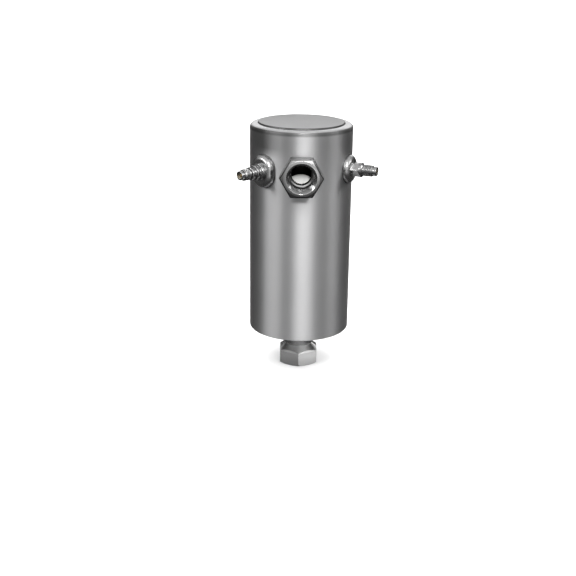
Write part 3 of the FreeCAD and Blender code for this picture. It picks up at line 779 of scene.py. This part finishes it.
def make_service_stub():
    """Right port: small hexagon, bead, cone, then thread and nose. It returns its tip."""
    across, face, chamfer = 12.7, CAN + 5.0, 0.75
    body, bead, room = 6.0, 7.1, 4.6
    corner = across / math.sqrt(3)
    hex_end = face + 7.0
    hexagon = bar("service_stub", across, face, hex_end + 0.5, 0, 0.2)
    blank = [
        (0, face),
        (corner, face, 0.15),
        (corner, hex_end - 0.45, 0.1),
        (corner - chamfer, hex_end, 0.1),
        (corner - chamfer, hex_end + 0.5, 0),
        (0, hex_end + 0.5),
    ]
    carve(hexagon, turned("blank", blank, 96), "INTERSECT")
    bead_end = hex_end + 2.0
    start = bead_end + 1.5
    ends, tip, span = stub_end(start, 9.7)
    corners = [
        (SHANK, INNER_END),
        (SHANK, face + 0.4, 0),
        (body, face + 0.4, 0),
        (body, hex_end, 0.2),
        (bead, hex_end, 0.5),
        (bead, bead_end, 0.8),
        (STUB_MAJOR + 0.9, bead_end + 0.2, 0.2),
        (STUB_MAJOR - 0.6, start, 0.1),
    ]
    stub = turned("stub", corners + ends, 96)
    cut_thread(stub, STUB_MAJOR, *span, STUB_PITCH, -STUB_DEPTH)
    carve(hexagon, rod("bore", room, face - 1, hex_end + 1, 96))
    carve(hexagon, stub, "UNION")
    settle(smooth(hexagon, 28), on_port(SERVICE_TURN))
    finish_piece(hexagon, "service_adapter", service_metal)
    return tip


def make_spring(port, tip, place):
    """Coil spring under the valve pin's head."""
    wire, mean, pitch = 0.16, 0.95, 0.98
    floor = tip - SEAT_DEPTH
    low = floor + wire + GAP
    rise = SPRING_LENGTH - 2 * (wire + GAP)
    bpy.ops.object.select_all(action="DESELECT")
    bpy.ops.mesh.primitive_circle_add(
        vertices=12, radius=wire * MM, location=(mean * MM, 0, low * MM), rotation=(math.pi / 2, 0, 0)
    )
    spring = settle(bpy.context.object)
    spring.name = f"{port}_coil"
    turns = rise / pitch
    screw = spring.modifiers.new("coil", "SCREW")
    screw.iterations = int(turns)
    screw.angle = math.tau * turns / int(turns)
    screw.screw_offset = rise / int(turns) * MM
    screw.steps = screw.render_steps = 36
    bpy.ops.object.modifier_apply(modifier=screw.name)
    edit(spring, lambda: bpy.ops.mesh.fill_holes(sides=0), merge_and_face_out)
    settle(smooth(spring, 50), place)
    finish_piece(spring, f"{port}_core_spring", spring_metal)
    anchor = tuple(place @ Vector((0, 0, floor * MM)))
    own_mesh(spring)


def make_side_port(port, turn, make_stub):
    """A side port's adapter and spring, and the materials of its boss and valve core."""
    tip = make_stub()
    make_spring(port, tip, on_port(turn))
    around = port_axis(turn)
    brass = turned_finish(f"{port}_brass", (0.56, 0.46, 0.29), 0.32, around, 0.12)
    for node, material in (
        ("boss", turned_finish(f"{port}_boss_metal", grey(0.5), 0.26, around)),
        ("core_body", brass),
        ("valve_pin", brass),
        ("core_gasket", gasket_plastic),
        ("pin_seal", rubber),
    ):
        dress(f"{port}_{node}", material)


def tubes(name, paths, radius, closed=True, sides=3):
    """Round bars of one radius along paths of points, as one mesh."""
    shape = bpy.data.curves.new(name, "CURVE")
    shape.dimensions = "3D"
    shape.bevel_depth = radius * MM
    shape.bevel_resolution = sides
    shape.use_fill_caps = not closed
    for path in paths:
        spline = shape.splines.new("POLY")
        spline.points.add(len(path) - 1)
        spline.use_cyclic_u = closed
        for target, point in zip(spline.points, path):
            target.co = (*[value * MM for value in point], 1)
    piece = bpy.data.objects.new(name, shape)
    bpy.context.scene.collection.objects.link(piece)
    pick(piece)
    bpy.ops.object.convert(target="MESH")
    piece = bpy.context.object
    edit(piece, merge_and_face_out)
    return piece


def make_braze(port, turn, across, along, radius):
    """Fillet of filler metal where a port's oval or round foot meets the can."""
    outset, steps = 0.12, 180
    x, y = across / 2 + outset, along / 2 + outset
    corner = x - 0.2
    path = []
    for step in range(steps):
        angle = math.tau * (step + 0.5) / steps
        left = math.copysign(x - corner, math.cos(angle))
        high = math.copysign(y - corner, math.sin(angle))
        point = Vector((left + corner * math.cos(angle), high + corner * math.sin(angle), 0))
        swell = 0.18 * noise.noise(point * 0.35 + Vector((turn * 7, 0, 0)))
        point *= 1 + swell / point.length
        path.append((point.x, point.y, math.sqrt((CAN + 0.1 + swell) ** 2 - point.x**2)))
    fillet = settle(smooth(tubes(f"{port}_braze", [path], radius), 60), on_port(turn))
    finish_piece(fillet, None, braze_metal)


def make_weld():
    """Weld bead that closes the foot, with the ripples of its run."""
    ripple_length, ripple_height = 2.1, 0.17
    outer, bend = CAN_INNER - GAP, 5.05
    middle, top = CAN_INNER - bend, HEAD_Z + 5.0
    low = HEAD_Z - 1.4
    sag = ((0, 0.75), (0.9, 0.32), (1.8, 0.1), (2.7, 0), (3.6, 0), (4.3, 0.08), (4.8, 0.3))
    corners = [(middle + out, low + up) for out, up in sag] + [(outer, low + 0.6)]
    for step in range(9):
        angle = math.radians(80 - 10 * step)
        corners.append((middle + bend * math.sin(angle), top - bend * math.cos(angle)))
    weld = turned("seam_bead", [(*corner, 0) for corner in corners], 640)
    for vertex in weld.data.vertices:
        x, y, z = vertex.co / MM
        share = (math.hypot(x, y) - middle) / (outer - middle)
        if z > low + 0.8 or not 0.02 < share < 0.98:
            continue
        run = math.atan2(y, x) * outer / ripple_length - 1.1 * (share - 0.5) ** 2
        vertex.co.z += MM * ripple_height * math.sin(math.pi * share) * (1 + math.cos(math.tau * run))
    finish_piece(smooth(weld, 60), "seam_weld", weld_metal)


def make_screen():
    """Woven screen round the bleed filter's frame."""
    low, high = height_of("filter_screen")
    around, rows, wave, middle, wire = 72, 15, 0.1, 11.1, 0.1
    low, high = low + 2 * wire, high - 2 * wire
    hoops, posts = [], []
    for row in range(rows):
        z = low + (high - low) * row / (rows - 1)
        hoop = []
        for step in range(around * 3):
            reach = middle + wave * math.cos(math.pi * (step / 3 + row))
            angle = math.tau * step / (around * 3)
            hoop.append((reach * math.cos(angle), reach * math.sin(angle), z))
        hoops.append(hoop)
    for post in range(around):
        angle = math.tau * post / around
        line = []
        for step in range((rows - 1) * 3 + 1):
            reach = middle - wave * math.cos(math.pi * (step / 3 + post))
            z = low + (high - low) * step / ((rows - 1) * 3)
            line.append((reach * math.cos(angle), reach * math.sin(angle), z))
        posts.append(line)
    mesh = tubes("screen_hoops", hoops, wire, True, 1)
    rest = tubes("screen_posts", posts, wire, False, 1)
    pick(mesh)
    rest.select_set(True)
    bpy.ops.object.join()
    finish_piece(smooth(mesh, 70), "filter_screen", screen_metal)


def make_tie():
    """Toothed strap round the bag's collar, with its lock and a cut tail."""
    low, high = height_of("bag_tie")
    middle = (low + high) / 2
    inner, outer, half, margin = 12.325, 13.3, 2.4, 0.7
    teeth, tooth_height = 84, 0.22
    corners = [(inner, middle - half), (outer, middle - half), (outer, middle - half + margin, 0)]
    corners += [(outer, middle + half - margin, 0), (outer, middle + half), (inner, middle + half)]
    strap = turned("strap", corners, 6 * teeth, edge=0.25)
    for vertex in strap.data.vertices:
        x, y, z = vertex.co / MM
        if math.hypot(x, y) > outer - 0.01 and abs(z - middle) < half - margin + 0.1:
            push_out(vertex, tooth_height * ((math.atan2(y, x) / math.tau * teeth) % 1))
    for name, size, place in (
        ("lock", (4.6, 5.4, 5.4), (15.4, 0, middle)),
        ("tail", (1.1, 5.6, 4.4), (15.2, -3.4, middle)),
    ):
        bpy.ops.object.select_all(action="DESELECT")
        bpy.ops.mesh.primitive_cube_add(size=MM, location=[value * MM for value in place])
        block = bpy.context.object
        block.name = name
        block.scale = size
        settle(block)
        edit(block, lambda: bpy.ops.mesh.bevel(offset=0.35 * MM, segments=3, affect="EDGES"))
        carve(strap, block, "UNION")
    finish_piece(smooth(strap, 30), "bag_tie", tie_nylon)


def inflate(piece, held, pressure, cap):
    """Swell a closed cloth piece with a short cloth run; no point moves further than cap."""
    frames = 20
    start = [vertex.co.copy() for vertex in piece.data.vertices]
    group = piece.vertex_groups.new(name="held")
    group.add([i for i, place in enumerate(start) if held(place / MM)], 1.0, "REPLACE")
    cloth = piece.modifiers.new("cloth", "CLOTH")
    cloth.settings.vertex_group_mass = "held"
    cloth.settings.use_pressure = True
    cloth.settings.uniform_pressure_force = pressure
    cloth.settings.effector_weights.gravity = 0
    cloth.settings.quality = 6
    for number in range(1, frames + 1):
        bpy.context.scene.frame_set(number)
    graph = bpy.context.evaluated_depsgraph_get()
    swollen = [vertex.co.copy() for vertex in piece.evaluated_get(graph).data.vertices]
    piece.modifiers.remove(cloth)
    piece.vertex_groups.clear()
    bpy.context.scene.frame_set(1)
    for vertex, old, new in zip(piece.data.vertices, start, swollen):
        shift = new - old
        vertex.co = old + shift * min(1, cap * MM / max(shift.length, 1e-9))


def pleat(angle):
    """Wave of the felt's gathers round the standpipe, from -1 to 1."""
    return math.cos(15 * angle + 1.2 * math.sin(2 * angle))


def make_bag():
    """Felt pouch of drying beads round the standpipe, gathered into a collar under the tie."""
    low, high = height_of("desiccant_bag")
    outer, neck = -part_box("desiccant_bag")[0].y / MM, high - 14
    inner, collar, cup = 9.9, 11.9, 13
    middle = (low + neck) / 2
    slack, pleat_depth, fold_depth = 1.8, 1.3, 0.35
    corners = [
        (inner, low + slack, 1.5),
        (outer - slack, low + slack, cup),
        (outer - slack, neck - slack, cup),
        (inner, neck - slack, 1.5),
    ]
    pouch = turned("bag", corners, 96)
    pouch.data.remesh_voxel_size = 3 * MM
    pick(pouch)
    bpy.ops.object.voxel_remesh()
    for vertex in pouch.data.vertices:
        x, y, z = vertex.co / MM
        reach = math.hypot(x, y)
        near_collar = math.exp(-max(reach - collar, 0) / 9)
        fold = pleat(math.atan2(y, x)) * near_collar * (reach > inner + 1)
        dent = noise.noise(vertex.co / MM * 0.07) + 0.5 * noise.noise(vertex.co / MM * 0.16)
        side = min(max((reach - 20) / 10, 0), 1)
        vertex.co.z += MM * ((fold - near_collar) * pleat_depth * math.copysign(1, z - middle))
        push_out(vertex, side * (0.9 * dent - 0.6))
    inflate(pouch, lambda place: math.hypot(place.x, place.y) < inner + 1.5, 200, 2.4)
    for vertex in pouch.data.vertices:
        reach = math.hypot(vertex.co.x, vertex.co.y) / MM
        push_out(vertex, min(max(reach, inner), outer - 0.6) - reach)
        vertex.co.z = min(max(vertex.co.z, (low + 0.3) * MM), (neck - 0.3) * MM)
    pick(pouch)
    finer = pouch.modifiers.new("finer", "SUBSURF")
    finer.levels = finer.render_levels = 1
    bpy.ops.object.modifier_apply(modifier=finer.name)

    ruff = [
        (inner, neck - 5),
        (collar + 1.6, neck - 5),
        (collar, neck - 0.5),
        (collar - 0.2, neck + 4),
        (collar - 0.1, neck + 10),
        (collar + 0.1, high - 0.3),
        (inner + 0.6, high - 0.3),
        (inner, high - 3),
    ]
    gathers = turned("gathers", ruff, 240, edge=0.8)
    for vertex in gathers.data.vertices:
        x, y, _ = vertex.co / MM
        free = min(max((math.hypot(x, y) - inner) / (collar - inner), 0), 1)
        push_out(vertex, (pleat(math.atan2(y, x)) - 1) * fold_depth * free)
    carve(pouch, gathers, "UNION")

    welt, steps = [], 180
    for step in range(steps):
        angle = math.tau * step / steps
        way = Vector((math.cos(angle), math.sin(angle), 0))
        start = way * (outer + 5) + Vector((0, 0, middle + math.sin(3 * angle)))
        hit, place, *_ = pouch.ray_cast(start * MM, -way)
        welt.append(place / MM if hit else way * (outer - slack))
    seam = tubes("welt", [welt], 0.75, True, 2)
    pick(pouch)
    seam.select_set(True)
    bpy.ops.object.join()
    finish_piece(smooth(pouch, 60), "desiccant_bag", felt)


def dress(node, material):
    """Give a CAD node that stays visible its material."""
    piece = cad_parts[node]
    for place in range(len(piece.material_slots)):
        piece.material_slots[place].link = "OBJECT"
        piece.material_slots[place].material = material


make_can()
make_inlet()
make_outlet()
make_side_port("switch", SWITCH_TURN, make_switch_stub)
make_side_port("service", SERVICE_TURN, make_service_stub)
# Width and height of each port's foot, and the radius of its fillet.
make_braze("inlet", 0, 29.0, 29.0, 0.6)
make_braze("switch", SWITCH_TURN, 26.4, 31.6, 0.7)
make_braze("service", SERVICE_TURN, 25.4, 27.2, 0.7)
make_weld()
make_screen()
make_bag()
make_tie()
dress("bottom_head", head_metal)
dress("standpipe", pipe_metal)
dress("deflector_cap", nylon)
dress("filter_frame", nylon)


# The stage in metres. Soft boxes: azimuth and elevation seen from the middle of the can, width and
# height, all in degrees, and brightness. Azimuth 0 is the front, and 90 the right-hand side.
CAN_MIDDLE = Vector((0, 0, 0.17))
BOX_DISTANCE = 4
SOFT_BOXES = {
    "front_box": (9, 28, 37, 6, 20),
    "low_box": (9, -6, 24, 12, 0.8),
    "high_box": (3, 46, 9, 9, 13),
    "left_box": (-67, 25, 40, 10, 8),
    "right_box": (84, 25, 26, 10, 4.8),
    "back_box": (176, 25, 60, 24, 1.4),
}
# Cards on the floor round the foot, in millimetres, which only reflections show: azimuth from and
# to, and grey. The floor lies just under the part.
CARDS = {"pale_card": (10, 110, 0.62), "dark_card": (-110, -10, 0.22)}
CARD_INNER = 20
CARD_OUTER = 56
CARD_Z = -0.1
FLOOR_Z = -0.2


def stage_finish(name, level):
    return Finish(name, grey(level), 0.9, 0.0, Specular_IOR_Level=0.1).material


def soft_box(name, azimuth, elevation, width, height, brightness):
    """An evenly bright panel that faces the middle of the can."""
    azimuth, elevation = math.radians(azimuth), math.radians(elevation)
    flat_way = Vector((math.sin(azimuth), -math.cos(azimuth), 0))
    way = flat_way * math.cos(elevation) + Vector((0, 0, math.sin(elevation)))
    lamp = bpy.data.lights.new(name, "AREA")
    lamp.shape = "RECTANGLE"
    lamp.size = 2 * BOX_DISTANCE * math.tan(math.radians(width) / 2)
    lamp.size_y = 2 * BOX_DISTANCE * math.tan(math.radians(height) / 2)
    lamp.energy = brightness * math.pi * lamp.size * lamp.size_y
    place_lamp(name, lamp, CAN_MIDDLE + BOX_DISTANCE * way, CAN_MIDDLE)


def place_lamp(name, lamp, place, aim):
    """Put a lamp at a place, turned towards its aim, where the camera doesn't see it."""
    piece = bpy.data.objects.new(name, lamp)
    bpy.context.scene.collection.objects.link(piece)
    piece.location = place
    piece.rotation_euler = (aim - place).to_track_quat("-Z", "Y").to_euler()
    piece.visible_camera = False
    return piece


def make_lights():
    """Soft boxes round the can, a big panel for the floor and a narrow light into the front port."""
    for name, where in SOFT_BOXES.items():
        soft_box(name, *where)

    panel = bpy.data.lights.new("overhead", "AREA")
    panel.shape = "DISK"
    panel.size = 6
    panel.energy = 300
    place_lamp("overhead", panel, Vector((0, 0, 4.5)), Vector((0, 0, 0))).visible_glossy = False

    narrow = bpy.data.lights.new("inlet_light", "SPOT")
    narrow.energy = 44
    narrow.spot_size = math.radians(6)
    narrow.spot_blend = 0.6
    narrow.shadow_soft_size = 0.03
    in_front, port = Vector((0.02, -1.0, 0.47)), Vector((0, -INLET_FACE * MM, PORT_Z * MM))
    place_lamp("inlet_light", narrow, in_front, port).visible_glossy = False


def make_sky():
    """Room light that fades from high in front of the can to low behind it."""
    brightest, darkest, brightest_way = 0.8, 0.06, (0.05, -0.45, 0.89)
    world = bpy.data.worlds.new("studio")
    world.use_nodes = True
    sky = Nodes(world.node_tree, "Background")
    way = sky.node("ShaderNodeTexCoord", out="Generated")
    inputs = [way, brightest_way]
    share = sky.node("ShaderNodeVectorMath", inputs, out="Value", operation="DOT_PRODUCT")
    sky.feed("Strength", sky.band(share, -0.2, 0.8, darkest, brightest))
    sky.shader.inputs["Color"].default_value = (*grey(1), 1)
    bpy.context.scene.world = world
    bpy.context.scene.view_settings.view_transform = "Standard"


def make_stage():
    """Pale floor that curves up into a round backdrop, and the cards on it."""
    radius, bend, top, chords = 6000, 3000, 5000, 16
    corners = [(0, FLOOR_Z), (radius - bend, FLOOR_Z)]
    for step in range(1, chords + 1):
        angle = math.pi / 2 * step / chords
        corners.append((radius - bend + bend * math.sin(angle), bend - bend * math.cos(angle)))
    corners.append((radius, top))
    floor = turned("floor", corners, 96, closed=False)
    edit(floor, lambda: bpy.ops.mesh.normals_make_consistent(inside=True))
    smooth(floor, 60)
    floor.data.materials.append(stage_finish("floor_white", 0.9))
    floor.visible_glossy = False
    floor.visible_shadow = False

    for name, (start, end, level) in CARDS.items():
        points, chords = [], 12
        for radius in (CARD_INNER, CARD_OUTER):
            for step in range(chords + 1):
                angle = math.radians(start + (end - start) * step / chords)
                points.append((radius * math.sin(angle), -radius * math.cos(angle), CARD_Z))
        faces = [(i, i + 1, i + chords + 2, i + chords + 1) for i in range(chords)]
        card = new_piece(name, points, faces=faces)
        card.data.materials.append(stage_finish(f"{name}_paper", level))
        card.visible_camera = card.visible_shadow = card.visible_diffuse = False


def make_camera():
    """The photograph's view: from the front, a little above, with a slight roll."""
    focal_pixels, frame_pixels = 1022, 576
    place = Vector((-11.457, -1000, 422.5)) * MM
    down, roll = math.radians(18.95), 0.0119
    lens = bpy.data.cameras.new("camera")
    lens.sensor_width = 36
    lens.lens = focal_pixels / frame_pixels * lens.sensor_width
    lens.clip_start = 0.01
    lens.clip_end = 50
    camera = bpy.data.objects.new("camera", lens)
    bpy.context.scene.collection.objects.link(camera)
    level_view = Matrix.Translation(place) @ Matrix.Rotation(math.pi / 2, 4, "X")
    camera.matrix_world = level_view @ Matrix.Rotation(-down, 4, "X") @ Matrix.Rotation(roll, 4, "Z")
    bpy.context.scene.camera = camera


make_stage()
make_lights()
make_sky()
make_camera()
